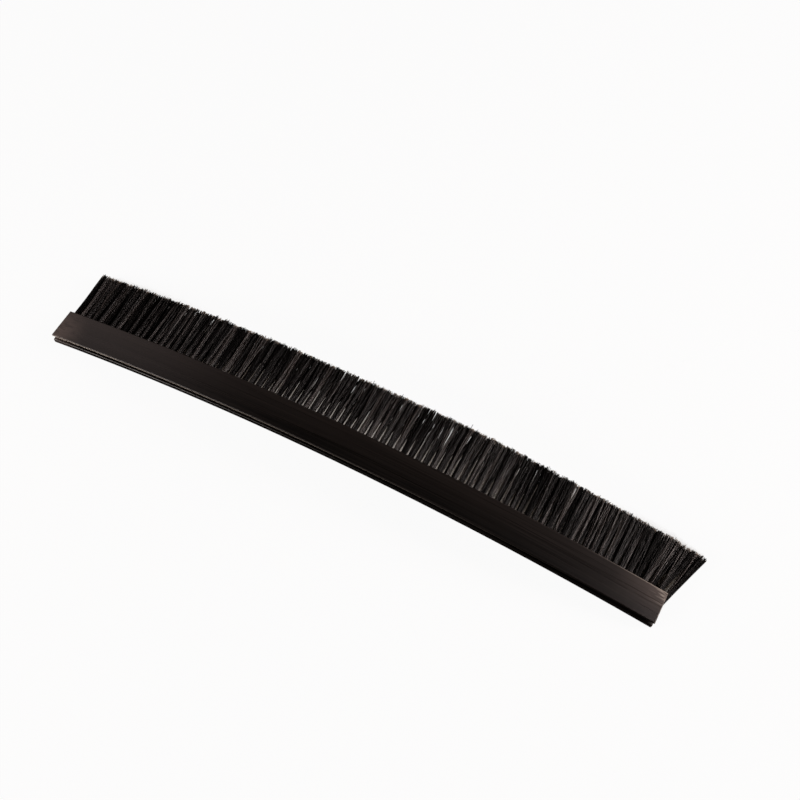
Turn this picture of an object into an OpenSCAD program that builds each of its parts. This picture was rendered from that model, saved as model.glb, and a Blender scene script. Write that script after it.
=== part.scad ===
// Brush seal strip: one bowed length of slotted PVC holder with a single row of round nylon tufts.
// The strip runs along X and is arched in the XZ plane, so that it stands on its two ends.
// The slot for the sheet edge opens towards -Y, and the tufts point towards +Y.
// The origin is under the middle of the whole strip, on the ground.

/* [Strip] */
// Length of the holder, measured along its underside
strip_len = 300; // [150:1:600]
// Angle between the strip and the ground at each end
end_angle = 11; // [3:0.5:18]

/* [Holder] */
// Width of the front flange, from the slot's mouth to the tufts
flange_w = 15; // [14:0.5:24]
// Thickness of the front flange
flange_t = 1.1; // [0.8:0.1:2]
// Height of the slot that takes the sheet edge
slot_h = 1.8; // [1:0.1:3]
// Depth of the slot, from the front flange's free edge to the web
slot_depth = 7; // [4:0.5:8]
// Thickness of the back wall
back_t = 2.3; // [2:0.1:4]
// How far the back wall stands out past the front flange at the slot's mouth
lip_out = 0.4; // [0.1:0.1:2]
// Radius of the holder's outer edges
edge_r = 0.35; // [0.1:0.05:0.4]

/* [Tufts] */
// Distance from one tuft to the next
tuft_pitch = 3.455; // [3.45:0.005:6]
// Distance from the sawn end to the middle of the last tuft, whose hole the saw has opened
sawn_gap = 0.85; // [0.5:0.05:1.1]
// Least length of plain holder before the first tuft's middle
plain_gap = 2; // [2:0.1:10]
// Free length of the tufts, from the holder to the trimmed tips
tuft_len = 24.5; // [8:0.5:60]
// Diameter of a tuft where it leaves the holder
root_d = 2.8; // [1.6:0.1:2.9]
// Diameter of a tuft at its trimmed tips
tip_d = 3.4; // [2:0.1:3.4]
// Depth of the hole that holds a tuft
hole_depth = 5; // [3:0.5:5.5]
// Gap between a tuft and the wall of its hole
hole_gap = 0.05; // [0.02:0.01:0.1]
// Lean of the last tuft, out over the sawn end
lean_angle = 17; // [0:1:22]
// Number of tufts at the sawn end that lean
lean_count = 6; // [1:1:12]

/* [Hidden] */

// Fragments of a full turn of the arch, of a round edge and of a hole
arch_fn = 720;
edge_fn = 24;
hole_fn = 32;
// A tuft is a bundle of filaments with no round wall of its own, so it has this many flat sides
tuft_sides = 12;

holder_t = back_t + slot_h + flange_t;
slot_top = back_t + slot_h;
tuft_h = holder_t / 2;
hole_d = root_d + 2 * hole_gap;

// Radius of the arch at the holder's underside, and the height of its middle above the ground
arch_r = strip_len / (2 * end_angle * PI / 180);
arch_z = -arch_r * cos(end_angle);

// Angle along the arch of a length along the underside
function along(length) = length / arch_r * 180 / PI;

// The row is counted back from the sawn end
tuft_count = floor((strip_len - sawn_gap - plain_gap) / tuft_pitch) + 1;
function tuft_angle(i) = end_angle - along(sawn_gap + (tuft_count - 1 - i) * tuft_pitch);
function tuft_lean(i) = lean_angle * pow(max(0, i + 1 + lean_count - tuft_count) / lean_count, 2);

// Whole length of a tuft, and its diameter at the bottom of its hole
tuft_whole = hole_depth + tuft_len;
bottom_d = root_d - (tip_d - root_d) * hole_depth / tuft_len;

// Reach of the holder's left end and of the last tuft's outer tip, which set the middle of the strip
left_reach = (arch_r + holder_t) * sin(end_angle);
tip_out = tuft_whole * sin(lean_angle) + tip_d / 2 * cos(lean_angle);
last_angle = tuft_angle(tuft_count - 1);
right_reach = max(left_reach, (arch_r + tuft_h) * sin(last_angle) + tip_out);
// Reach of the back wall's lip and of the tufts' tips across the strip
across_mid = (tuft_len - flange_w - lip_out) / 2;

// Points of a rounded corner, as [height, across], swept from one angle to another about its centre
function corner(height, across, from, to) =
    [for (k = [0 : edge_fn / 4])
        let (a = from + (to - from) * k * 4 / edge_fn)
        [height + edge_r * cos(a), across + edge_r * sin(a)]];

// Closed outline of the holder's section, as [height, across], from the back wall's outer lip
function section() = concat(
    corner(edge_r, edge_r - flange_w - lip_out, 270, 180),
    corner(edge_r, -edge_r, 180, 90),
    corner(holder_t - edge_r, -edge_r, 90, 0),
    corner(holder_t - edge_r, edge_r - flange_w, 360, 270),
    corner(slot_top + edge_r, edge_r - flange_w, 270, 180),
    [[slot_top, slot_depth - flange_w],
     [back_t, slot_depth - flange_w]],
    corner(back_t - edge_r, edge_r - flange_w - lip_out, 360, 270));

// Moves the arch's centre, with its axis along Y, to its place over the ground
module on_arch() {
    translate([(left_reach - right_reach) / 2, -across_mid, arch_z])
        rotate([-90, 0, 0])
            children();
}

// Carries a shape that starts at the bottom of a hole and runs along +Z to the i-th place in the row.
// A tuft leans level with the ground, so its tips stay clear of it.
module at_tuft(i) {
    on_arch()
        rotate([0, 0, tuft_angle(i) - 90])
            translate([arch_r + tuft_h, 0, -hole_depth])
                rotate([0, 0, -tuft_angle(i)])
                    rotate([-tuft_lean(i), 0, 0])
                        children();
}

module holder() {
    color("#2b2928")
    difference() {
        on_arch()
            rotate([0, 0, 270 - end_angle])
                rotate_extrude(angle = 2 * end_angle, $fn = arch_fn)
                    polygon([for (p = section()) [arch_r + p[0], p[1]]]);
        for (i = [0 : tuft_count - 1])
            at_tuft(i)
                translate([0, 0, -hole_gap])
                    cylinder(d = hole_d, h = tuft_whole, $fn = hole_fn);
    }
}

// Tufts that flare from the bottoms of their holes to their trimmed tips
module bristle_tufts() {
    color("#3a3634")
    for (i = [0 : tuft_count - 1])
        at_tuft(i)
            cylinder(d1 = bottom_d, d2 = tip_d, h = tuft_whole, $fn = tuft_sides);
}

holder();
bristle_tufts();
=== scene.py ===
"""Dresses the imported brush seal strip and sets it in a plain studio.

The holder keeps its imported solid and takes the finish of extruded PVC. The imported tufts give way
to the nylon filaments that they stand for. Lengths are in metres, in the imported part's own frame:
X along the strip, Y across it towards the bristle tips, Z up.
"""

import logging
import math
from dataclasses import dataclass
from enum import Enum

import bpy
import numpy as np
from mathutils import Matrix, Vector


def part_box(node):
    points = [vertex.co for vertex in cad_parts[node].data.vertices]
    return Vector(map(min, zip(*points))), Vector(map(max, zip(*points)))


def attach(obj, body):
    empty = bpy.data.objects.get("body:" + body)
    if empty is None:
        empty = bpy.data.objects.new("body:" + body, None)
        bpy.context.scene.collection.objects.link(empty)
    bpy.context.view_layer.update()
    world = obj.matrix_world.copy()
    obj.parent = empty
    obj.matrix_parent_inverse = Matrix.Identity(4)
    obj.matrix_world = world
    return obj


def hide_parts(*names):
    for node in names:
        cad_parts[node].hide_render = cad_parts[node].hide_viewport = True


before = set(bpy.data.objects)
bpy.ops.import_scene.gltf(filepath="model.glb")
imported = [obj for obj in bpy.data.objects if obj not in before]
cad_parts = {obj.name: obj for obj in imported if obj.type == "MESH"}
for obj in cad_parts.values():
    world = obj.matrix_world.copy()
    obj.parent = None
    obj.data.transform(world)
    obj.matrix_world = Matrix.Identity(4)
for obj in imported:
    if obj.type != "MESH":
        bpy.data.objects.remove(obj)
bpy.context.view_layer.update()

MM = 0.001
BODY = "root"
GOLDEN_ANGLE = math.pi * (3 - math.sqrt(5))
WHITE = (1.0, 1.0, 1.0, 1.0)
LOG = logging.getLogger("brush_seal_strip")

# Names of what each point of a filament's mesh carries for the finish: its filament's own number,
# and the share of the filament's length that lies before it.
STRAND_NUMBER = "strand"
SHARE_ALONG = "along"

# Sockets of a Mix node that mixes colours: the share of the second colour, the two colours, and
# the output.
SHARE, FIRST, SECOND = 0, 6, 7
MIXED = 2

# How many corners a face of a filament's wall has
QUAD = 4


def linear(hex_colour: str) -> tuple[float, float, float, float]:
    """Turns an sRGB colour into the linear one that a shader takes.

    Args:
        hex_colour: Colour as "#rrggbb".

    Returns:
        Linear red, green and blue, and an alpha of 1.
    """
    srgb = np.array([int(hex_colour[k:k + 2], 16) for k in (1, 3, 5)]) / 255
    light = np.where(srgb <= 0.04045, srgb / 12.92, ((srgb + 0.055) / 1.055) ** 2.4)
    return (*light.tolist(), 1.0)


def add(tree: bpy.types.NodeTree, kind: str, settings: dict | None = None,
        inputs: dict | None = None) -> bpy.types.Node:
    """Adds a node to a tree, with its settings and links.

    Args:
        tree: Tree that takes the node.
        kind: Name of the node's kind, without the leading "ShaderNode".
        settings: Value of each of the node's own properties.
        inputs: Value, output socket or node for each input, by its name or number. A node gives
            its first output.

    Returns:
        The new node.
    """
    node = tree.nodes.new("ShaderNode" + kind)
    for name, value in (settings or {}).items():
        setattr(node, name, value)
    for key, value in (inputs or {}).items():
        if isinstance(value, bpy.types.Node):
            value = value.outputs[0]
        if isinstance(value, bpy.types.NodeSocket):
            tree.links.new(value, node.inputs[key])
        else:
            node.inputs[key].default_value = value
    return node


def new_material(name: str) -> tuple[bpy.types.Material, bpy.types.NodeTree]:
    """Makes a material with an empty node tree.

    Args:
        name: The material's name.

    Returns:
        The material, and its tree.
    """
    material = bpy.data.materials.new(name)
    material.use_nodes = True
    material.node_tree.nodes.clear()
    return material, material.node_tree


@dataclass(frozen=True)
class Arch:
    """The bow of the strip: a circular arc over the ground, in the XZ plane.

    Attributes:
        middle_x: Place of the arc's crown along X.
        length: Length of the holder along its underside.
        end_angle: Angle between the underside and the ground at each end, in radians.
    """

    middle_x: float
    length: float = 300 * MM
    end_angle: float = math.radians(11)

    @property
    def radius(self) -> float:
        """Radius of the underside, which is half its length over the end angle."""
        return self.length / (2 * self.end_angle)

    @property
    def centre_z(self) -> float:
        """Height of the arc's centre, which lies far below the ground."""
        return -self.radius * math.cos(self.end_angle)

    def place(self, along: np.ndarray, across: np.ndarray, height: np.ndarray) -> np.ndarray:
        """Bends places on a straight strip to the arc.

        A point at a length s from the crown and a height h over the underside goes to the angle
        s / radius on a circle of radius + h about the arc's centre.

        Args:
            along: Lengths from the crown, measured along the underside.
            across: Places along Y, which the bend leaves alone.
            height: Heights over the underside.

        Returns:
            The bent places, with X, Y and Z on the last axis.
        """
        along, across, height = np.broadcast_arrays(along, across, height)
        angle = along / self.radius
        reach = self.radius + height
        x = self.middle_x + reach * np.sin(angle)
        z = self.centre_z + reach * np.cos(angle)
        return np.stack([x, across, z], axis=-1)


@dataclass(frozen=True)
class NylonFilament:
    """Black nylon 6 monofilament, drawn and cut.

    Drawing leaves a strand smooth, which gives the eye a soft grey sheen along it. Cutting tears
    its tip, which looks pale. Every strand has a number from 0 to 1, and each pair of numbers
    below says where a change from strand to strand starts and where it is complete.

    Attributes:
        dark: Colour of most strands.
        pale: Colour of the palest strands, which are worn and dusty.
        cut: Colour of the cut ends, where light scatters in the torn nylon.
        ior: Index of refraction of nylon.
        smooth: Roughness of the smoothest strand, a pale one.
        rough: Roughness of the roughest strand, a dark one.
        turns_pale: Change from dark to pale.
        turns_torn: Change from a clean tip to a torn one.
        turns_shiny: Change from dull to shiny.
        cut_share: Share of a strand's length, from its tip, that looks cut.
        least_shine: Share of its gloss that the dullest strand keeps.
    """

    dark: str = "#050404"
    pale: str = "#46403d"
    cut: str = "#a89a89"
    ior: float = 1.53
    smooth: float = 0.26
    rough: float = 0.46
    turns_pale: tuple[float, float] = (0.7, 0.85)
    turns_torn: tuple[float, float] = (0.45, 0.75)
    turns_shiny: tuple[float, float] = (0.25, 0.75)
    cut_share: float = 0.035
    least_shine: float = 0.15

    def material(self) -> bpy.types.Material:
        """Makes the material, which reads each strand's own number and the length along it.

        Returns:
            The material.
        """
        material, tree = new_material("nylon_monofilament")
        strand = add(tree, "Attribute", {"attribute_name": STRAND_NUMBER}).outputs["Fac"]
        colour = self.colour(tree, strand)
        gloss = add(tree, "MapRange", None,
                    {"Value": strand, "To Min": self.rough, "To Max": self.smooth})
        drawn = add(tree, "BsdfPrincipled", None,
                    {"Base Color": colour, "Roughness": gloss, "IOR": self.ior})
        # Dull strands lie between the shiny ones, so that the eye sees dark gaps between the locks.
        dull = add(tree, "BsdfDiffuse", None, {"Color": colour})
        shine = add(tree, "MapRange", None,
                    {"Value": strand, "From Min": self.turns_shiny[0],
                     "From Max": self.turns_shiny[1], "To Min": self.least_shine})
        shader = add(tree, "MixShader", None, {0: shine, 1: dull, 2: drawn})
        add(tree, "OutputMaterial", None, {"Surface": shader})
        return material

    def colour(self, tree: bpy.types.NodeTree,
               strand: bpy.types.NodeSocket) -> bpy.types.NodeSocket:
        """Adds the colour, which is dark or pale from strand to strand, with some tips torn.

        Args:
            tree: Tree that takes the nodes.
            strand: Socket that gives the strand's number.

        Returns:
            The socket that gives the colour.
        """
        tone = add(tree, "MapRange", None, {"Value": strand, "From Min": self.turns_pale[0],
                                            "From Max": self.turns_pale[1]})
        body = add(tree, "Mix", {"data_type": "RGBA"},
                   {SHARE: tone, FIRST: linear(self.dark), SECOND: linear(self.pale)})
        along = add(tree, "Attribute", {"attribute_name": SHARE_ALONG}).outputs["Fac"]
        tip = add(tree, "MapRange", None, {"Value": along, "From Min": 1 - self.cut_share})
        torn = add(tree, "MapRange", None, {"Value": strand, "From Min": self.turns_torn[0],
                                            "From Max": self.turns_torn[1]})
        cut = add(tree, "Math", {"operation": "MULTIPLY"}, {0: tip, 1: torn})
        mixed = add(tree, "Mix", {"data_type": "RGBA"},
                    {SHARE: cut, FIRST: body.outputs[MIXED], SECOND: linear(self.cut)})
        return mixed.outputs[MIXED]


@dataclass(frozen=True)
class Blots:
    """Noise whose blots have a real length along the strip and a real width across it.

    Attributes:
        length: Length of a blot.
        width: Width of a blot.
        detail: How many finer layers the noise has.
        shows: Values of the noise at which a mark starts to show and shows in full.
        most: How strongly it then shows.
    """

    length: float
    width: float
    detail: float
    shows: tuple[float, float] = (0.0, 1.0)
    most: float = 1.0

    def noise(self, tree: bpy.types.NodeTree, strip: bpy.types.Node) -> bpy.types.Node:
        """Adds the noise itself.

        Args:
            tree: Tree that takes the nodes.
            strip: Node that gives the place along, across and through the strip.

        Returns:
            The noise node, whose first output is its value.
        """
        scaled = add(tree, "VectorMath", {"operation": "MULTIPLY"},
                     {0: strip, 1: (1 / self.length, 1 / self.width, 1 / self.width)})
        return add(tree, "TexNoise", None, {"Vector": scaled, "Scale": 1.0, "Detail": self.detail})

    def marks(self, tree: bpy.types.NodeTree, noise: bpy.types.Node) -> bpy.types.Node:
        """Adds a mask of the marks that stand out of the noise.

        Args:
            tree: Tree that takes the node.
            noise: Node that gives the noise.

        Returns:
            The node whose output is the mask.
        """
        return add(tree, "MapRange", None, {"Value": noise, "From Min": self.shows[0],
                                            "From Max": self.shows[1], "To Max": self.most})


@dataclass(frozen=True)
class PaintedEdgeHighlight:
    """A painted highlight along an edge of the strip, brightest at one end.

    Attributes:
        across: Place of the edge along Y.
        height: Height of the edge over the underside.
        fade: Where the highlight starts and where it is full, in shares of the strip's length from
            its crown.
        most: The highlight's strength where it is full.
        band: Distances from the edge at which the highlight starts and is full.
        power: Power of the share of the way from the highlight's start that it grows with.
    """

    across: float
    height: float
    fade: tuple[float, float]
    most: float
    band: tuple[float, float] = (0.55 * MM, 0.4 * MM)
    power: float = 2.0

    def mask(self, tree: bpy.types.NodeTree, strip: bpy.types.Node,
             length: float) -> bpy.types.Node:
        """Adds a mask of the painted highlight.

        Args:
            tree: Tree that takes the nodes.
            strip: Node that gives the place along, across and through the strip.
            length: Length of the strip.

        Returns:
            The node whose output is the painted highlight.
        """
        section = add(tree, "VectorMath", {"operation": "MULTIPLY"},
                      {0: strip, 1: (0.0, 1.0, 1.0)})
        away = add(tree, "VectorMath", {"operation": "DISTANCE"},
                   {0: section, 1: (0.0, self.across, self.height)})
        near = add(tree, "MapRange", None,
                   {"Value": away.outputs["Value"], "From Min": self.band[0],
                    "From Max": self.band[1], "To Max": self.most})
        along = add(tree, "SeparateXYZ", None, {0: strip})
        share = add(tree, "MapRange", None, {"Value": along, "From Min": self.fade[0] * length,
                                             "From Max": self.fade[1] * length})
        # How strong the painted highlight is along the strip.
        highlights_and_wear = add(tree, "Math", {"operation": "POWER"}, {0: share, 1: self.power})
        return add(tree, "Math", {"operation": "MULTIPLY"}, {0: near, 1: highlights_and_wear})


@dataclass(frozen=True)
class ExtrudedPvc:
    """Black rigid PVC pushed through a die, and sawn to length.

    The die leaves it satin, with fine lines along the strip that streak its sheen. Dust streaks grey
    the face along those lines, and a painted sheen greys it by the tufts, most near the sawn end.
    Pale blotches lie at the plain end's corner. Painted highlights run along the flange's free edge,
    brightest at the plain end, and along the edge by the tufts, brightest at the sawn end. The saw
    leaves a torn, paler edge with fine scratches beside it.

    Attributes:
        arch: The bow that the die lines follow.
        face_y: Place along Y of the edge between the face and the tufts.
        flange_width: Width of the face, from the tufts to the flange's free edge.
        thickness: Height of the face over the underside.
        flange_thickness: Thickness of the front flange.
        black: Colour of the clean plastic.
        dust_and_sheen_colour: Colour of the dust streaks, of the painted sheen by the tufts, and of
        the pale blotches at the plain end's corner.
        scuff_and_highlight: Colour of the scratches and of the torn edge, and of the painted
        highlights along the flange's free edge and the edge by the tufts.
        ior: Index of refraction of rigid PVC.
        satin: Roughness of the clean plastic.
        line_swing: How far the die lines change the roughness.
        band_swing: How far the broad bands change it.
        wear_and_highlight_roughness: How much rougher worn plastic is, and the plastic under the
        painted edge highlights.
        relief: Depth of a die line.
        relief_share: Share of that depth that shows.
        lines: Die lines, and the dust streaks that lie along them.
        bands: Broad bands along the strip, from the die too.
        grit: Torn grains on the sawn edge.
        scratches: Scratches from the saw and from handling.
        corner_blots: Pale blotches at the plain end's corner.
        torn_edge: Distances from the sawn end at which its torn edge starts and is full.
        scuff_reach: How far the scratches run in from the sawn end.
        scuff_band: Distances from the tufts at which the scratches start and are full.
        free_depth: How far down the flange's free edge its painted highlight lies, in shares of its
            thickness.
        free_fade: Where the free edge's painted highlight starts and is full, as in
            PaintedEdgeHighlight.
        free_most: The free edge's painted highlight where it is full.
        inner_fade: Where the painted highlight on the edge by the tufts starts and is full.
        inner_most: That edge's painted highlight where it is full.
        corner: Distance from the tufts to the blotched corner, and its height over the underside.
        corner_reach: How far from that corner the blotches reach.
        sheen_width: Share of the face's width, from the tufts, over which the painted sheen thins
            out.
        sheen_end: Where the painted sheen starts to grow and is fullest, in shares of the strip's
            length.
        least_sheen: Share of that sheen that lies on the rest of the strip.
    """

    arch: Arch
    face_y: float
    flange_width: float = 15 * MM
    thickness: float = 5.2 * MM
    flange_thickness: float = 1.1 * MM
    black: str = "#050403"
    # Colour of the dust streaks, of the painted sheen by the tufts and of the corner's pale
    # blotches.
    dust_and_sheen_colour: str = "#554b46"
    # Pale colour of the scratches and the torn edge, and of the painted highlights along two edges.
    scuff_and_highlight: str = "#efe4d5"
    ior: float = 1.53
    satin: float = 0.31
    line_swing: float = 0.24
    band_swing: float = 0.16
    wear_and_highlight_roughness: float = 0.3
    relief: float = 0.02 * MM
    relief_share: float = 0.35
    # A real die line, grain or scratch is about 0.1 mm wide, which is too fine to show. These are
    # drawn as wide as they need to be.
    lines: Blots = Blots(60 * MM, 0.35 * MM, 3.0, (0.42, 0.66), 0.1)
    bands: Blots = Blots(600 * MM, 2.8 * MM, 2.0)
    grit: Blots = Blots(0.5 * MM, 0.5 * MM, 2.0, (0.42, 0.62), 0.5)
    scratches: Blots = Blots(6 * MM, 0.3 * MM, 1.0, (0.5, 0.62), 0.5)
    corner_blots: Blots = Blots(5 * MM, 1.6 * MM, 3.0, (0.2, 0.5))
    torn_edge: tuple[float, float] = (0.45 * MM, 0.09 * MM)
    scuff_reach: float = 9 * MM
    scuff_band: tuple[float, float] = (7.95 * MM, 2.45 * MM)
    # Painted highlights along the flange's free edge and along the edge by the tufts.
    free_depth: float = 0.85
    free_fade: tuple[float, float] = (0.5, -0.5)
    free_most: float = 1.0
    inner_fade: tuple[float, float] = (0.33, 0.5)
    inner_most: float = 0.45
    corner: tuple[float, float] = (12.45 * MM, 5 * MM)
    corner_reach: float = 18 * MM
    # A painted sheen by the tufts, thin along the strip and full near the sawn end.
    sheen_width: float = 0.8
    sheen_end: tuple[float, float] = (0.42, 0.5)
    least_sheen: float = 0.12

    def material(self) -> bpy.types.Material:
        """Makes the material, from patterns laid along, across and through the bowed strip.

        Returns:
            The material.
        """
        material, tree = new_material("extruded_pvc")
        place = add(tree, "TexCoord").outputs["Object"]
        strip = self.strip_place(tree, place)
        lines = self.lines.noise(tree, strip)
        # Wear from the saw and from handling, and painted highlights along two edges.
        scuffs_and_highlights = self.highlights_and_wear(tree, strip)
        # Dust streaks along the die lines, a painted sheen by the tufts, and pale blotches at the
        # plain end's corner.
        dust_and_sheen_cover = self.dust_and_sheen(tree, place, strip, lines)
        clean = add(tree, "Mix", {"data_type": "RGBA"},
                    {SHARE: dust_and_sheen_cover, FIRST: linear(self.black), SECOND: linear(self.dust_and_sheen_colour)})
        colour = add(tree, "Mix", {"data_type": "RGBA"},
                     {SHARE: scuffs_and_highlights, FIRST: clean.outputs[MIXED], SECOND: linear(self.scuff_and_highlight)})
        bump = add(tree, "Bump", None, {"Strength": self.relief_share, "Distance": self.relief,
                                        "Height": lines})
        shader = add(tree, "BsdfPrincipled", None,
                     {"Base Color": colour.outputs[MIXED], "IOR": self.ior, "Normal": bump,
                      "Roughness": self.roughness(tree, strip, lines, scuffs_and_highlights)})
        add(tree, "OutputMaterial", None, {"Surface": shader})
        return material

    def strip_place(self, tree: bpy.types.NodeTree,
                    place: bpy.types.NodeSocket) -> bpy.types.Node:
        """Adds the place on the strip: what the arch's own place method does, undone.

        The length along is the angle about the arc's centre times the radius, and the height is
        the distance from that centre less the radius.

        Args:
            tree: Tree that takes the nodes.
            place: Socket that gives the place in space.

        Returns:
            The node that gives the place along, across and through the strip.
        """
        centre = (self.arch.middle_x, 0.0, self.arch.centre_z)
        from_centre = add(tree, "VectorMath", {"operation": "SUBTRACT"}, {0: place, 1: centre})
        part = add(tree, "SeparateXYZ", None, {0: from_centre})
        angle = add(tree, "Math", {"operation": "ARCTAN2"},
                    {0: part.outputs["X"], 1: part.outputs["Z"]})
        along = add(tree, "Math", {"operation": "MULTIPLY"}, {0: angle, 1: self.arch.radius})
        in_plane = add(tree, "VectorMath", {"operation": "MULTIPLY"},
                       {0: from_centre, 1: (1.0, 0.0, 1.0)})
        reach = add(tree, "VectorMath", {"operation": "LENGTH"}, {0: in_plane})
        height = add(tree, "Math", {"operation": "SUBTRACT"},
                     {0: reach.outputs["Value"], 1: self.arch.radius})
        return add(tree, "CombineXYZ", None, {0: along, 1: part.outputs["Y"], 2: height})

    def highlights_and_wear(self, tree: bpy.types.NodeTree, strip: bpy.types.Node) -> bpy.types.Node:
        """Adds the wear and the painted highlights: the most of the painted edge highlights, the
        torn edge and the scratches.

        Args:
            tree: Tree that takes the nodes.
            strip: Node that gives the place along, across and through the strip.

        Returns:
            The node whose output is the wear and the painted highlights.
        """
        end = self.arch.length / 2
        part = add(tree, "SeparateXYZ", None, {0: strip})
        edge = add(tree, "MapRange", None,
                   {"Value": part, "From Min": end - self.torn_edge[0],
                    "From Max": end - self.torn_edge[1]})
        grit = self.grit.marks(tree, self.grit.noise(tree, strip))
        torn = add(tree, "Math", {"operation": "MULTIPLY"}, {0: edge, 1: grit})

        near_saw = add(tree, "MapRange", {"interpolation_type": "SMOOTHSTEP"},
                       {"Value": part, "From Min": end - self.scuff_reach, "From Max": end})
        near_tufts = add(tree, "MapRange", {"interpolation_type": "SMOOTHSTEP"},
                         {"Value": part.outputs["Y"], "From Min": self.face_y - self.scuff_band[0],
                          "From Max": self.face_y - self.scuff_band[1]})
        near_both = add(tree, "Math", {"operation": "MULTIPLY"}, {0: near_saw, 1: near_tufts})
        scratches = self.scratches.marks(tree, self.scratches.noise(tree, strip))
        scuffed = add(tree, "Math", {"operation": "MULTIPLY"}, {0: scratches, 1: near_both})

        # Painted highlights: along the flange's free edge, brightest at the plain end, and along the
        # edge by the tufts, brightest at the sawn end.
        free_y = self.face_y - self.flange_width
        free_height = self.thickness - self.free_depth * self.flange_thickness
        free_edge_highlight = PaintedEdgeHighlight(free_y, free_height, self.free_fade, self.free_most)
        inner_edge_highlight = PaintedEdgeHighlight(self.face_y, self.thickness, self.inner_fade, self.inner_most)
        edge_highlights = add(tree, "Math", {"operation": "MAXIMUM"},
                    {0: free_edge_highlight.mask(tree, strip, self.arch.length),
                     1: inner_edge_highlight.mask(tree, strip, self.arch.length)})
        marks = add(tree, "Math", {"operation": "MAXIMUM"}, {0: torn, 1: scuffed})
        return add(tree, "Math", {"operation": "MAXIMUM"}, {0: edge_highlights, 1: marks})

    def dust_and_sheen(self, tree: bpy.types.NodeTree, place: bpy.types.NodeSocket, strip: bpy.types.Node,
             lines: bpy.types.Node) -> bpy.types.Node:
        """Adds the dust streaks and the painted sheen: pale blotches in one corner, a painted sheen
        by the tufts that is fullest near the sawn end, and fine dust streaks along the die lines.

        Args:
            tree: Tree that takes the nodes.
            place: Socket that gives the place in space.
            strip: Node that gives the place along, across and through the strip.
            lines: Node that gives the die lines' noise.

        Returns:
            The node whose output is the cover of dust streaks, painted sheen and blotches.
        """
        # Pale blotches round the plain end's corner.
        across, height = self.corner
        corner = self.arch.place(-self.arch.length / 2, self.face_y - across, height).tolist()
        to_corner = add(tree, "VectorMath", {"operation": "DISTANCE"}, {0: place, 1: corner})
        patch = add(tree, "MapRange", {"interpolation_type": "SMOOTHSTEP"},
                    {"Value": to_corner.outputs["Value"], "From Min": self.corner_reach,
                     "From Max": 0.0})
        corner_blots = self.corner_blots.marks(tree, self.corner_blots.noise(tree, strip))
        corner_blotches = add(tree, "Math", {"operation": "MULTIPLY"}, {0: patch, 1: corner_blots})

        # Painted sheen: paler towards the tufts, thin along the strip and full near the sawn end.
        part = add(tree, "SeparateXYZ", None, {0: strip})
        inward = add(tree, "MapRange", None,
                     {"Value": part.outputs["Y"], "From Max": self.face_y,
                      "From Min": self.face_y - self.sheen_width * self.flange_width})
        sawnward = add(tree, "MapRange", None,
                       {"Value": part, "From Min": self.sheen_end[0] * self.arch.length,
                        "From Max": self.sheen_end[1] * self.arch.length,
                        "To Min": self.least_sheen})
        painted_sheen = add(tree, "Math", {"operation": "MULTIPLY"}, {0: inward, 1: sawnward})
        # The painted sheen plus the dust streaks along the die lines.
        sheen_and_dust_streaks = add(tree, "Math", {"operation": "ADD"},
                    {0: painted_sheen, 1: self.lines.marks(tree, lines)})
        return add(tree, "Math", {"operation": "ADD", "use_clamp": True}, {0: corner_blotches, 1: sheen_and_dust_streaks})

    def roughness(self, tree: bpy.types.NodeTree, strip: bpy.types.Node, lines: bpy.types.Node,
                  scuffs_and_highlights: bpy.types.Node) -> bpy.types.Node:
        """Adds the roughness, which swings about the satin one with the die lines and the bands.

        Args:
            tree: Tree that takes the nodes.
            strip: Node that gives the place along, across and through the strip.
            lines: Node that gives the die lines' noise.
            scuffs_and_highlights: Node that gives the wear and the painted edge highlights.

        Returns:
            The node whose output is the roughness.
        """
        bands = self.bands.noise(tree, strip)
        lined = add(tree, "Math", {"operation": "MULTIPLY_ADD"},
                    {0: lines, 1: self.line_swing, 2: -self.line_swing / 2})
        banded = add(tree, "Math", {"operation": "MULTIPLY_ADD"},
                     {0: bands, 1: self.band_swing, 2: lined})
        rough = add(tree, "Math", {"operation": "ADD"},
                    {0: banded, 1: self.satin - self.band_swing / 2})
        return add(tree, "Math", {"operation": "MULTIPLY_ADD"},
                   {0: scuffs_and_highlights, 1: self.wear_and_highlight_roughness, 2: rough})


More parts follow.
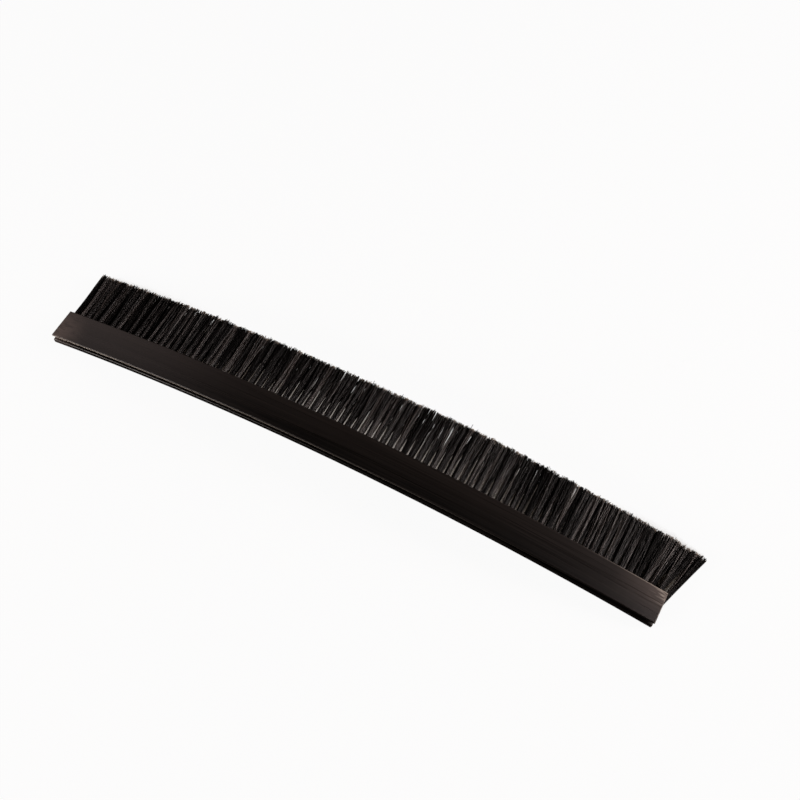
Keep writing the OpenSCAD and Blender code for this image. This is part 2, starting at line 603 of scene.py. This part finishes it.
@dataclass(frozen=True)
class StudioPaper:
    """Matt background paper: white to the camera, with only the object's soft shadow on it.

    Attributes:
        white: Colour of the lit paper that the camera sees.
        bounce: Colour of the light that the paper throws back on the object.
        shade: Tint of the paper in the shadow under the object.
        shadow: Share of the shadow's depth that the camera sees in the open.
        cover: Height under the object at which the paper starts to darken.
        front: Direction that the object must leave open for the paper to stay white.
        rays: How many rays look for cover over a point.
        opens: Shares of open rays at which the paper is darkest and is plain white.
        grains: How many grains lie along a side of the floor.
        detail: How many finer layers the grain has.
        relief: Height of a grain.
        relief_share: Share of that height that shows.
    """

    white: str = "#ffffff"
    bounce: str = "#3a3632"
    shade: str = "#b8946a"
    shadow: float = 0.06
    cover: float = 32 * MM
    front: tuple[float, float, float] = (0.0, -0.7, 0.7)
    rays: int = 16
    opens: tuple[float, float] = (0.38, 0.58)
    # Paper's own grain is too fine to show, so these grains are about 9 mm wide.
    grains: float = 900.0
    detail: float = 2.0
    relief: float = 0.05 * MM
    relief_share: float = 0.05

    def material(self) -> bpy.types.Material:
        """Makes the material, which shows the camera a mix of plain white and the lit paper.

        Returns:
            The material.
        """
        material, tree = new_material("studio_paper")
        grain = add(tree, "TexNoise", None, {"Scale": self.grains, "Detail": self.detail})
        bump = add(tree, "Bump", None, {"Strength": self.relief_share, "Distance": self.relief,
                                        "Height": grain})
        front = add(tree, "CombineXYZ", None, dict(enumerate(self.front)))
        covered = add(tree, "AmbientOcclusion", {"samples": self.rays},
                      {"Distance": self.cover, "Normal": front})
        open_share = add(tree, "MapRange", {"interpolation_type": "SMOOTHSTEP"},
                         {"Value": covered.outputs["AO"], "From Min": self.opens[0],
                          "From Max": self.opens[1]})
        tone = add(tree, "Mix", {"data_type": "RGBA"},
                   {SHARE: open_share, FIRST: linear(self.shade), SECOND: WHITE})
        plain = add(tree, "Emission", None,
                    {"Color": tone.outputs[MIXED], "Strength": open_share})
        lit = add(tree, "BsdfDiffuse", None, {"Color": linear(self.white), "Normal": bump})
        shown = add(tree, "MixShader", None, {0: self.shadow, 1: plain, 2: lit})
        thrown = add(tree, "BsdfDiffuse", None, {"Color": linear(self.bounce), "Normal": bump})
        seen = add(tree, "LightPath").outputs["Is Camera Ray"]
        paper = add(tree, "MixShader", None, {0: seen, 1: thrown, 2: shown})
        add(tree, "OutputMaterial", None, {"Surface": paper})
        return material


class Stretch(Enum):
    """Stretches of the tuft row that are pieces of their own, in order along the strip."""

    PLAIN_END = "bristles_plain_end"
    MIDDLE = "bristles_middle"
    SAWN_END = "bristles_sawn_end"


@dataclass(frozen=True)
class Trim:
    """What the trimming blade left on the tufts: some extra length, with a slow swell and a drop.

    Places are in shares of the strip's length, from its crown.

    Attributes:
        even: Extra length all along.
        swell: Extra length at the swell's crest.
        crest: Place of the crest.
        spread: Distance from the crest at which the swell is down to 1 / e.
        drop: Length lost at the sawn end.
        drop_start: Place where the drop starts.
        sawn_end: Place of the sawn end.
    """

    even: float = 0.35 * MM
    swell: float = 0.9 * MM
    crest: float = 0.17
    spread: float = 0.11
    drop: float = 0.7 * MM
    drop_start: float = 0.33
    sawn_end: float = 0.5

    def extra(self, place: np.ndarray) -> np.ndarray:
        """Works out the extra length: even plus a bell curve, less an even drop to the sawn end.

        Args:
            place: Places along the strip.

        Returns:
            The extra length at each.
        """
        bell = np.exp(-((place - self.crest) / self.spread) ** 2)
        fall = np.clip((place - self.drop_start) / (self.sawn_end - self.drop_start), 0, 1)
        return self.even + self.swell * bell - self.drop * fall


@dataclass(frozen=True)
class Stray:
    """How far the filaments depart from an even flare, alone and as locks.

    A lock is a bunch of neighbours that cling together. What is called random is the standard
    deviation of a normal draw, and what is unlike a filament's neighbours is its own.

    Attributes:
        locks: How many locks a tuft has.
        lock_ring: Share of the root's radius over which the locks' middles spread.
        lock_turn: Turn of the locks' spiral past that of the filaments, in radians.
        lock_middle: Random part of a lock's middle, in shares of the root's radius.
        lock_tip: Random part of a lock's tips, along the strip and up.
        lock_length: Random part of a lock's length.
        lock_swing: Random part of a lock's wave.
        lock_number: Share of a filament's number that it has from its lock.
        kept: Share of its distance from its lock's middle that a filament keeps at its tip.
        own_tip: Random part of a filament's own tip.
        own_length: Random part of its own length.
        own_swing: Random part of its own wave.
        astray_share: Share of the filaments that go astray along the strip.
        astray: Random part of such a filament's tip.
        uneven_share: Share of the filaments that the blade left long or short.
        uneven: Random part of such a filament's length.
        half_turns: Least and most half turns of a wave.
        splay: How much further than the rest the last tuft's tips spread, as a share.
        end_reach: Share of the tip radius that holds the first and last tufts' locks at the
            row's ends.
    """

    locks: int = 12
    lock_ring: float = 0.9
    lock_turn: float = 1.0
    lock_middle: float = 0.08
    lock_tip: tuple[float, float] = (0.42 * MM, 0.4 * MM)
    lock_length: float = 0.15 * MM
    lock_swing: float = 0.16 * MM
    lock_number: float = 0.75
    kept: float = 0.85
    own_tip: float = 0.3 * MM
    own_length: float = 0.18 * MM
    own_swing: float = 0.06 * MM
    astray_share: float = 0.15
    astray: float = 1.0 * MM
    uneven_share: float = 0.03
    uneven: float = 0.8 * MM
    half_turns: tuple[float, float] = (0.8, 1.8)
    splay: float = 0.5
    end_reach: float = 0.8


@dataclass
class TuftRow:
    """The row of tufts, each a bundle of straight filaments set in a hole of the holder.

    Attributes:
        arch: The bow that the holes follow.
        face_y: Place along Y of the holder's face that the tufts stand on.
        finish: Finish of the filaments.
        trim: What the trimming blade left.
        stray: How far the filaments depart from an even flare.
        pitch: Distance from one tuft to the next.
        sawn_gap: Distance from the sawn end to the last tuft's middle.
        plain_gap: Least distance from the other end to the first tuft's middle.
        axis_height: Height of the tufts' middles over the holder's underside.
        hole_depth: Depth of a hole.
        set_in: Share of that depth that a filament reaches into the hole.
        free_length: Length of a tuft from the holder to its trimmed tips.
        bottom_radius: Radius of a tuft at the bottom of its hole.
        root_radius: Radius of a tuft where it leaves the holder.
        tip_radius: Radius of a tuft at its tips.
        fan: Half the width, along the strip, over which the locks' tips spread.
        flare: Power of the share of its length with which a filament nears its tip's place.
        lean: Lean of the last tuft over the sawn end, in radians.
        lean_count: How many tufts lean.
        strands: How many filaments a tuft has.
        strand_radius: Radius of a filament.
        strand_sides: How many sides a filament's mesh has.
        rings: Shares of the free length at which that mesh has a ring. One more is in the hole.
        least_height: Least height of a filament's middle line over the ground, in its radii.
        seed: Seed of every random draw.
    """

    arch: Arch
    face_y: float
    finish: NylonFilament = NylonFilament()
    trim: Trim = Trim()
    stray: Stray = Stray()
    pitch: float = 3.455 * MM
    sawn_gap: float = 0.85 * MM
    plain_gap: float = 2.0 * MM
    axis_height: float = 2.6 * MM
    hole_depth: float = 5 * MM
    set_in: float = 0.96
    free_length: float = 24.5 * MM
    bottom_radius: float = 1.34 * MM
    root_radius: float = 1.4 * MM
    tip_radius: float = 1.7 * MM
    fan: float = 2.6 * MM
    flare: float = 1.4
    lean: float = math.radians(17)
    lean_count: int = 6
    strands: int = 100
    strand_radius: float = 0.12 * MM
    strand_sides: int = 5
    rings: tuple[float, ...] = (0.0, 0.10, 0.27, 0.5, 0.75, 1.0)
    least_height: float = 1.5
    seed: int = 7

    @property
    def count(self) -> int:
        """How many tufts fit between the two gaps."""
        room = self.arch.length - self.sawn_gap - self.plain_gap
        return math.floor(room / self.pitch) + 1

    def centres(self) -> np.ndarray:
        """Lengths from the crown to each tuft, counted back from the sawn end."""
        back = np.arange(self.count - 1, -1, -1)
        return self.arch.length / 2 - self.sawn_gap - back * self.pitch

    def leans(self) -> np.ndarray:
        """Lean of each tuft, which grows with the square of its place among the last ones."""
        place = np.arange(self.count) + 1 + self.lean_count - self.count
        return self.lean * (np.maximum(place, 0) / self.lean_count) ** 2

    def spiral(self, number: int, turn: np.ndarray) -> np.ndarray:
        """Spreads points evenly over a disc of radius 1, on a spiral of golden angles.

        Point k of n sits at the square root of (k + 1/2) / n of the radius, a golden angle round
        from the one before.

        Args:
            number: How many points a disc has.
            turn: Turn of each disc's spiral, with one row for each disc.

        Returns:
            The points, with disc, point and the two directions as axes.
        """
        order = np.arange(number)
        radius = np.sqrt((order + 0.5) / number)
        angle = order * GOLDEN_ANGLE + turn
        return radius[None, :, None] * np.stack([np.cos(angle), np.sin(angle)], axis=-1)

    def strand_offsets(self, rng: np.random.Generator) -> tuple[np.ndarray, ...]:
        """Places every filament in its tuft's root and tips, as offsets from the tuft's middle.

        In the root the filaments lie on a spiral, and so do the locks' middles. A filament joins
        the nearest lock and keeps its place in it up to the tips, while the lock strays as one:
        its tips go to its share of the fan plus a random draw.

        Args:
            rng: Source of the random draws.

        Returns:
            Root offsets in shares of the radius, and tip offsets in metres, both with tuft,
            filament and the two directions (along the strip and up) as axes, and the lock of
            each filament.
        """
        stray = self.stray
        turn = rng.uniform(0, 2 * math.pi, (self.count, 1))
        root = self.spiral(self.strands, turn)
        spread = stray.lock_ring * self.spiral(stray.locks, turn + stray.lock_turn)
        middle = spread + rng.normal(0, stray.lock_middle, spread.shape)
        lock = np.linalg.norm(root[:, :, None] - middle[:, None], axis=-1).argmin(axis=-1)
        tuft = np.arange(self.count)[:, None]

        splay = 1 + stray.splay * (self.leans() / self.lean)[:, None, None]
        reach = np.array([self.fan, self.tip_radius])
        ends = (middle * reach + rng.normal(0, 1, middle.shape) * stray.lock_tip) * splay
        limit = stray.end_reach * self.tip_radius
        ends[0, :, 0] = np.maximum(ends[0, :, 0], -limit)
        ends[-1, :, 0] = np.minimum(ends[-1, :, 0], limit)
        own = stray.kept * (root - middle[tuft, lock]) * self.tip_radius
        tip = ends[tuft, lock] + own + rng.normal(0, stray.own_tip, own.shape)
        goes_astray = rng.random(lock.shape) < stray.astray_share
        goes_astray[[0, -1]] = False
        tip[..., 0] += np.where(goes_astray, rng.normal(0, stray.astray, lock.shape), 0)
        return root, tip, lock

    def strand_lengths(self, rng: np.random.Generator, lock: np.ndarray) -> np.ndarray:
        """Works out every filament's free length: the trimmed one plus its random parts.

        Args:
            rng: Source of the random draws.
            lock: Lock of each filament.

        Returns:
            The lengths, with tuft and filament as axes.
        """
        stray = self.stray
        tuft = np.arange(self.count)[:, None]
        length = rng.normal(0, stray.lock_length, (self.count, stray.locks))[tuft, lock]
        trimmed = self.free_length + self.trim.extra(self.centres() / self.arch.length)
        length = length + trimmed[:, None] + rng.normal(0, stray.own_length, lock.shape)
        is_uneven = rng.random(lock.shape) < stray.uneven_share
        return length + np.where(is_uneven, rng.normal(0, stray.uneven, lock.shape), 0)

    def waves(self, rng: np.random.Generator, lock: np.ndarray, share: np.ndarray) -> np.ndarray:
        """Works out every filament's slow wave, which is zero at the face.

        At a share t of the free length the wave is its swing times (sin(turn t + phase) less
        sin(phase)), times 1 - (1 - t) squared.

        Args:
            rng: Source of the random draws.
            lock: Lock of each filament.
            share: Share of the free length at each ring.

        Returns:
            The wave, with tuft, filament, ring and the two directions as axes.
        """
        stray = self.stray
        tuft = np.arange(self.count)[:, None]
        shape = (self.count, stray.locks, 1, 2)
        phase = rng.uniform(0, 2 * math.pi, shape)[tuft, lock]
        turns = rng.uniform(*stray.half_turns, shape)[tuft, lock]
        swing = rng.normal(0, stray.lock_swing, shape)[tuft, lock]
        swing = swing + rng.normal(0, stray.own_swing, (*lock.shape, 1, 2))
        wave = np.sin(turns * math.pi * share[:, None] + phase) - np.sin(phase)
        return swing * wave * (1 - (1 - share[:, None]) ** 2)

    def strand_paths(self, rng: np.random.Generator) -> tuple[np.ndarray, np.ndarray]:
        """Works out the middle line of every filament.

        In its hole a filament runs straight. Past the face its offset goes from the root's to the
        tip's with a power of the share of its free length, and a slow wave lies on top.

        Args:
            rng: Source of the random draws.

        Returns:
            Points with tuft, filament, ring and X, Y and Z as axes, and the lock of each filament.
        """
        root, tip, lock = self.strand_offsets(rng)
        share = np.array([0.0, *self.rings])
        in_hole = np.zeros(share.shape)
        in_hole[0] = self.set_in * self.hole_depth
        outward = self.strand_lengths(rng, lock)[..., None] * share - in_hole

        packed = np.full(share.shape, self.root_radius)
        packed[0] = self.bottom_radius
        packed = packed - self.strand_radius
        blend = share[:, None] ** self.flare
        offset = root[:, :, None] * packed[:, None] * (1 - blend) + tip[:, :, None] * blend
        offset = offset + self.waves(rng, lock, share)

        lean = self.leans()
        zero = np.zeros_like(lean)
        out = np.stack([np.sin(lean), np.cos(lean), zero], axis=-1)[:, None, None]
        side = np.stack([np.cos(lean), -np.sin(lean), zero], axis=-1)[:, None, None]
        up = np.array([0.0, 0.0, 1.0])
        bottom = self.arch.place(self.centres(), self.face_y - self.hole_depth, self.axis_height)
        start = bottom[:, None, None] + out * self.hole_depth
        path = start + out * outward[..., None] + side * offset[..., :1] + up * offset[..., 1:]
        path[..., 2] = np.maximum(path[..., 2], self.least_height * self.strand_radius)
        return path, lock

    def tubes(self, paths: np.ndarray) -> tuple[np.ndarray, np.ndarray, np.ndarray]:
        """Carries a ring along each path and closes it at both ends.

        A ring's point at the angle a is the path's point plus the radius times (cos a, 0, sin a),
        because every filament runs nearly along Y.

        The caps have points of their own, so that they don't bend the walls' smooth shading.

        Args:
            paths: Middle lines, with filament, ring and X, Y and Z as axes.

        Returns:
            The points, the corners of all faces in a row, and the number of corners of each.
        """
        paths = np.concatenate([paths[:, :1], paths, paths[:, -1:]], axis=1)
        count, rings = paths.shape[:2]
        sides = self.strand_sides
        angle = np.arange(sides) * 2 * math.pi / sides
        ring = self.strand_radius * np.stack(
            [np.cos(angle), np.zeros(sides), np.sin(angle)], axis=-1)
        points = (paths[:, :, None] + ring).reshape(-1, 3)

        first = (np.arange(count) * rings * sides)[:, None, None]
        level = (np.arange(1, rings - 2) * sides)[None, :, None]
        here = np.arange(sides)[None, None]
        after = np.roll(here, -1, axis=-1)
        near, near_after = first + level + here, first + level + after
        walls = np.stack([near, near + sides, near_after + sides, near_after], axis=-1)
        bottoms = first[:, 0] + np.arange(sides)
        tips = first[:, 0] + (rings - 1) * sides + np.arange(sides)[::-1]
        corners = np.concatenate([walls.ravel(), bottoms.ravel(), tips.ravel()])
        sizes = np.repeat([QUAD, sides], [walls.size // QUAD, 2 * count])
        return points, corners, sizes

    def piece(self, stretch: Stretch, paths: np.ndarray, strand: np.ndarray,
              material: bpy.types.Material) -> bpy.types.Object:
        """Makes one stretch of the row.

        Args:
            stretch: Which stretch it is, which gives its name.
            paths: Middle lines of its filaments.
            strand: A random number from 0 to 1 for each filament, which its finish reads.
            material: The finish.

        Returns:
            The stretch's object.
        """
        points, corners, sizes = self.tubes(paths)
        mesh = bpy.data.meshes.new(stretch.value)
        mesh.vertices.add(len(points))
        mesh.vertices.foreach_set("co", points.astype(np.float32).ravel())
        mesh.loops.add(len(corners))
        mesh.loops.foreach_set("vertex_index", corners.astype(np.int32))
        mesh.polygons.add(len(sizes))
        starts = np.concatenate([[0], np.cumsum(sizes)[:-1]])
        mesh.polygons.foreach_set("loop_start", starts.astype(np.int32))
        mesh.polygons.foreach_set("use_smooth", sizes == QUAD)
        # A cap's own points carry what the ring beside it does.
        along = np.pad(np.linspace(0, 1, paths.shape[1]), 1, mode="edge")
        values = {STRAND_NUMBER: np.repeat(strand, len(along) * self.strand_sides),
                  SHARE_ALONG: np.tile(np.repeat(along, self.strand_sides), len(paths))}
        for name, value in values.items():
            numbers = mesh.attributes.new(name, "FLOAT", "POINT")
            numbers.data.foreach_set("value", value.astype(np.float32))
        mesh.update(calc_edges=True)
        mesh.validate()
        mesh.materials.append(material)
        piece = bpy.data.objects.new(stretch.value, mesh)
        bpy.context.collection.objects.link(piece)
        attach(piece, BODY)
        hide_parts("bristle_tufts")
        return piece

    def build(self) -> list[bpy.types.Object]:
        """Makes the whole row.

        Returns:
            One object for each stretch.
        """
        rng = np.random.default_rng(self.seed)
        paths, lock = self.strand_paths(rng)
        tuft = np.arange(self.count)
        by_lock = rng.random((self.count, self.stray.locks))[tuft[:, None], lock]
        share = self.stray.lock_number
        numbers = share * by_lock + (1 - share) * rng.random(lock.shape)
        material = self.finish.material()
        pieces = []
        for stretch, tufts in zip(Stretch, np.array_split(tuft, len(Stretch))):
            flat = paths[tufts].reshape(-1, *paths.shape[2:])
            pieces.append(self.piece(stretch, flat, numbers[tufts].ravel(), material))
        return pieces


@dataclass
class Holder:
    """The holder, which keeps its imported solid.

    Attributes:
        node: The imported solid's object.
        finish: Finish of the plastic.
    """

    node: bpy.types.Object
    finish: ExtrudedPvc

    def dress(self) -> bpy.types.Object:
        """Gives the solid its finish.

        Returns:
            The solid's object.
        """
        material = self.finish.material()
        for slot in self.node.material_slots:
            slot.material = material
        return self.node


@dataclass(frozen=True)
class Softbox:
    """A square studio light behind a diffuser, turned to the strip.

    Attributes:
        name: The light's name.
        azimuth: Direction from the strip, counted from +X towards +Y, in degrees.
        elevation: Height over the horizon, in degrees.
        distance: Distance from the strip.
        side: Length of its side.
        radiance: How bright its diffuser is, where 1 is white.
        tint: Colour of its light.
    """

    name: str
    azimuth: float
    elevation: float
    distance: float
    side: float
    radiance: float
    tint: str = "#fff4f0"

    def build(self, target: Vector) -> bpy.types.Object:
        """Makes the light, whose power is pi times its area times its radiance.

        Args:
            target: The point that it faces.

        Returns:
            The light's object.
        """
        turn, rise = math.radians(self.azimuth), math.radians(self.elevation)
        towards = Vector((math.cos(turn) * math.cos(rise), math.sin(turn) * math.cos(rise),
                          math.sin(rise)))
        light = bpy.data.lights.new(self.name, "AREA")
        light.shape = "SQUARE"
        light.size = self.side
        light.energy = math.pi * self.side ** 2 * self.radiance
        light.color = linear(self.tint)[:3]
        box = bpy.data.objects.new(self.name, light)
        box.location = target + towards * self.distance
        box.rotation_euler = towards.to_track_quat("Z", "Y").to_euler()
        bpy.context.collection.objects.link(box)
        return box


@dataclass(frozen=True)
class Studio:
    """The floor, the lights and the camera round the strip.

    Attributes:
        paper: Finish of the floor.
        floor_side: Length of the floor's side.
        softboxes: The lights.
        dim: Colour of the dark room above the lights.
        target: The point on the camera's axis near the strip.
        azimuth: The camera's turn to the right of the strip's front, in degrees.
        elevation: The camera's height over the horizon, in degrees.
        roll: The camera's turn about its own axis, in degrees.
        distance: Distance from the target to the camera.
        lens: The camera's focal length in millimetres, on a sensor 36 mm wide.
        nearest: The least distance at which the camera sees.
    """

    paper: StudioPaper = StudioPaper()
    floor_side: float = 8.0
    # Plastic and strands both mirror towards the camera what lies over the tips' side. The broad
    # box puts the glow on the plain end, and the two small ones put the sheen on the strands and
    # on the sawn end. The rim box, in front, lights the flange's free edge.
    softboxes: tuple[Softbox, ...] = (
        Softbox("left_softbox", 176, 26, 1.0, 0.9, 0.56, "#ffe8e4"),
        Softbox("right_softbox", 28, 40, 1.0, 0.25, 8.2, "#ffe8e4"),
        Softbox("low_softbox", 24, 20, 0.8, 0.3, 13.0),
        Softbox("rim_softbox", 228, 20, 1.0, 0.4, 12.0),
    )
    dim: str = "#202020"
    target: tuple[float, float, float] = (4.57 * MM, 23.95 * MM, 8 * MM)
    azimuth: float = 25.536
    elevation: float = 59.458
    roll: float = 2.306
    distance: float = 570.2 * MM
    lens: float = 57.1
    nearest: float = 10 * MM

    def build_floor(self) -> bpy.types.Object:
        """Makes the floor, a flat square sheet under the strip.

        Returns:
            The floor's object.
        """
        half = self.floor_side / 2
        mesh = bpy.data.meshes.new("floor")
        corners = [(-half, -half, 0), (half, -half, 0), (half, half, 0), (-half, half, 0)]
        mesh.from_pydata(corners, [], [(0, 1, 2, 3)])
        mesh.materials.append(self.paper.material())
        floor = bpy.data.objects.new("floor", mesh)
        bpy.context.collection.objects.link(floor)
        return floor

    def build_world(self) -> bpy.types.World:
        """Makes the surroundings: white to the camera, and dim to the strip and the floor.

        Returns:
            The world.
        """
        world = bpy.data.worlds.new("studio")
        world.use_nodes = True
        tree = world.node_tree
        tree.nodes.clear()
        room = add(tree, "Background", None, {"Color": linear(self.dim), "Strength": 1.0})
        white = add(tree, "Background", None, {"Color": WHITE, "Strength": 1.0})
        seen = add(tree, "LightPath").outputs["Is Camera Ray"]
        shown = add(tree, "MixShader", None, {0: seen, 1: room, 2: white})
        add(tree, "OutputWorld", None, {"Surface": shown})
        bpy.context.scene.world = world
        return world

    def build_camera(self) -> bpy.types.Object:
        """Makes the camera: tipped up from straight down, turned about Z, then rolled.

        Returns:
            The camera's object.
        """
        turn = Matrix.Rotation(math.radians(self.azimuth), 4, "Z")
        tip = Matrix.Rotation(math.radians(90 - self.elevation), 4, "X")
        roll = Matrix.Rotation(math.radians(self.roll), 4, "Z")
        pose = turn @ tip @ roll
        back = pose @ Vector((0, 0, 1))
        data = bpy.data.cameras.new("camera")
        data.lens = self.lens
        data.clip_start = self.nearest
        camera = bpy.data.objects.new("camera", data)
        camera.matrix_world = Matrix.Translation(Vector(self.target) + back * self.distance) @ pose
        bpy.context.collection.objects.link(camera)
        bpy.context.scene.camera = camera
        return camera

    def build(self) -> None:
        """Makes everything round the strip."""
        self.build_floor()
        self.build_world()
        for softbox in self.softboxes:
            softbox.build(Vector(self.target))
        self.build_camera()
        bpy.context.scene.view_settings.view_transform = "Standard"


def main() -> None:
    """Builds the strip's dress and the studio, and reports each piece."""
    logging.basicConfig(level=logging.INFO, format="%(name)s: %(message)s")
    low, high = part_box("holder")
    arch = Arch(middle_x=(low.x + high.x) / 2)
    Studio().build()
    holder = Holder(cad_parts["holder"], ExtrudedPvc(arch, face_y=high.y)).dress()
    LOG.info("%s keeps its packed solid and takes the finish of extruded PVC", holder.name)
    for piece in TuftRow(arch, face_y=high.y).build():
        LOG.info("%s has %d faces", piece.name, len(piece.data.polygons))


if __name__ == "__main__":
    main()
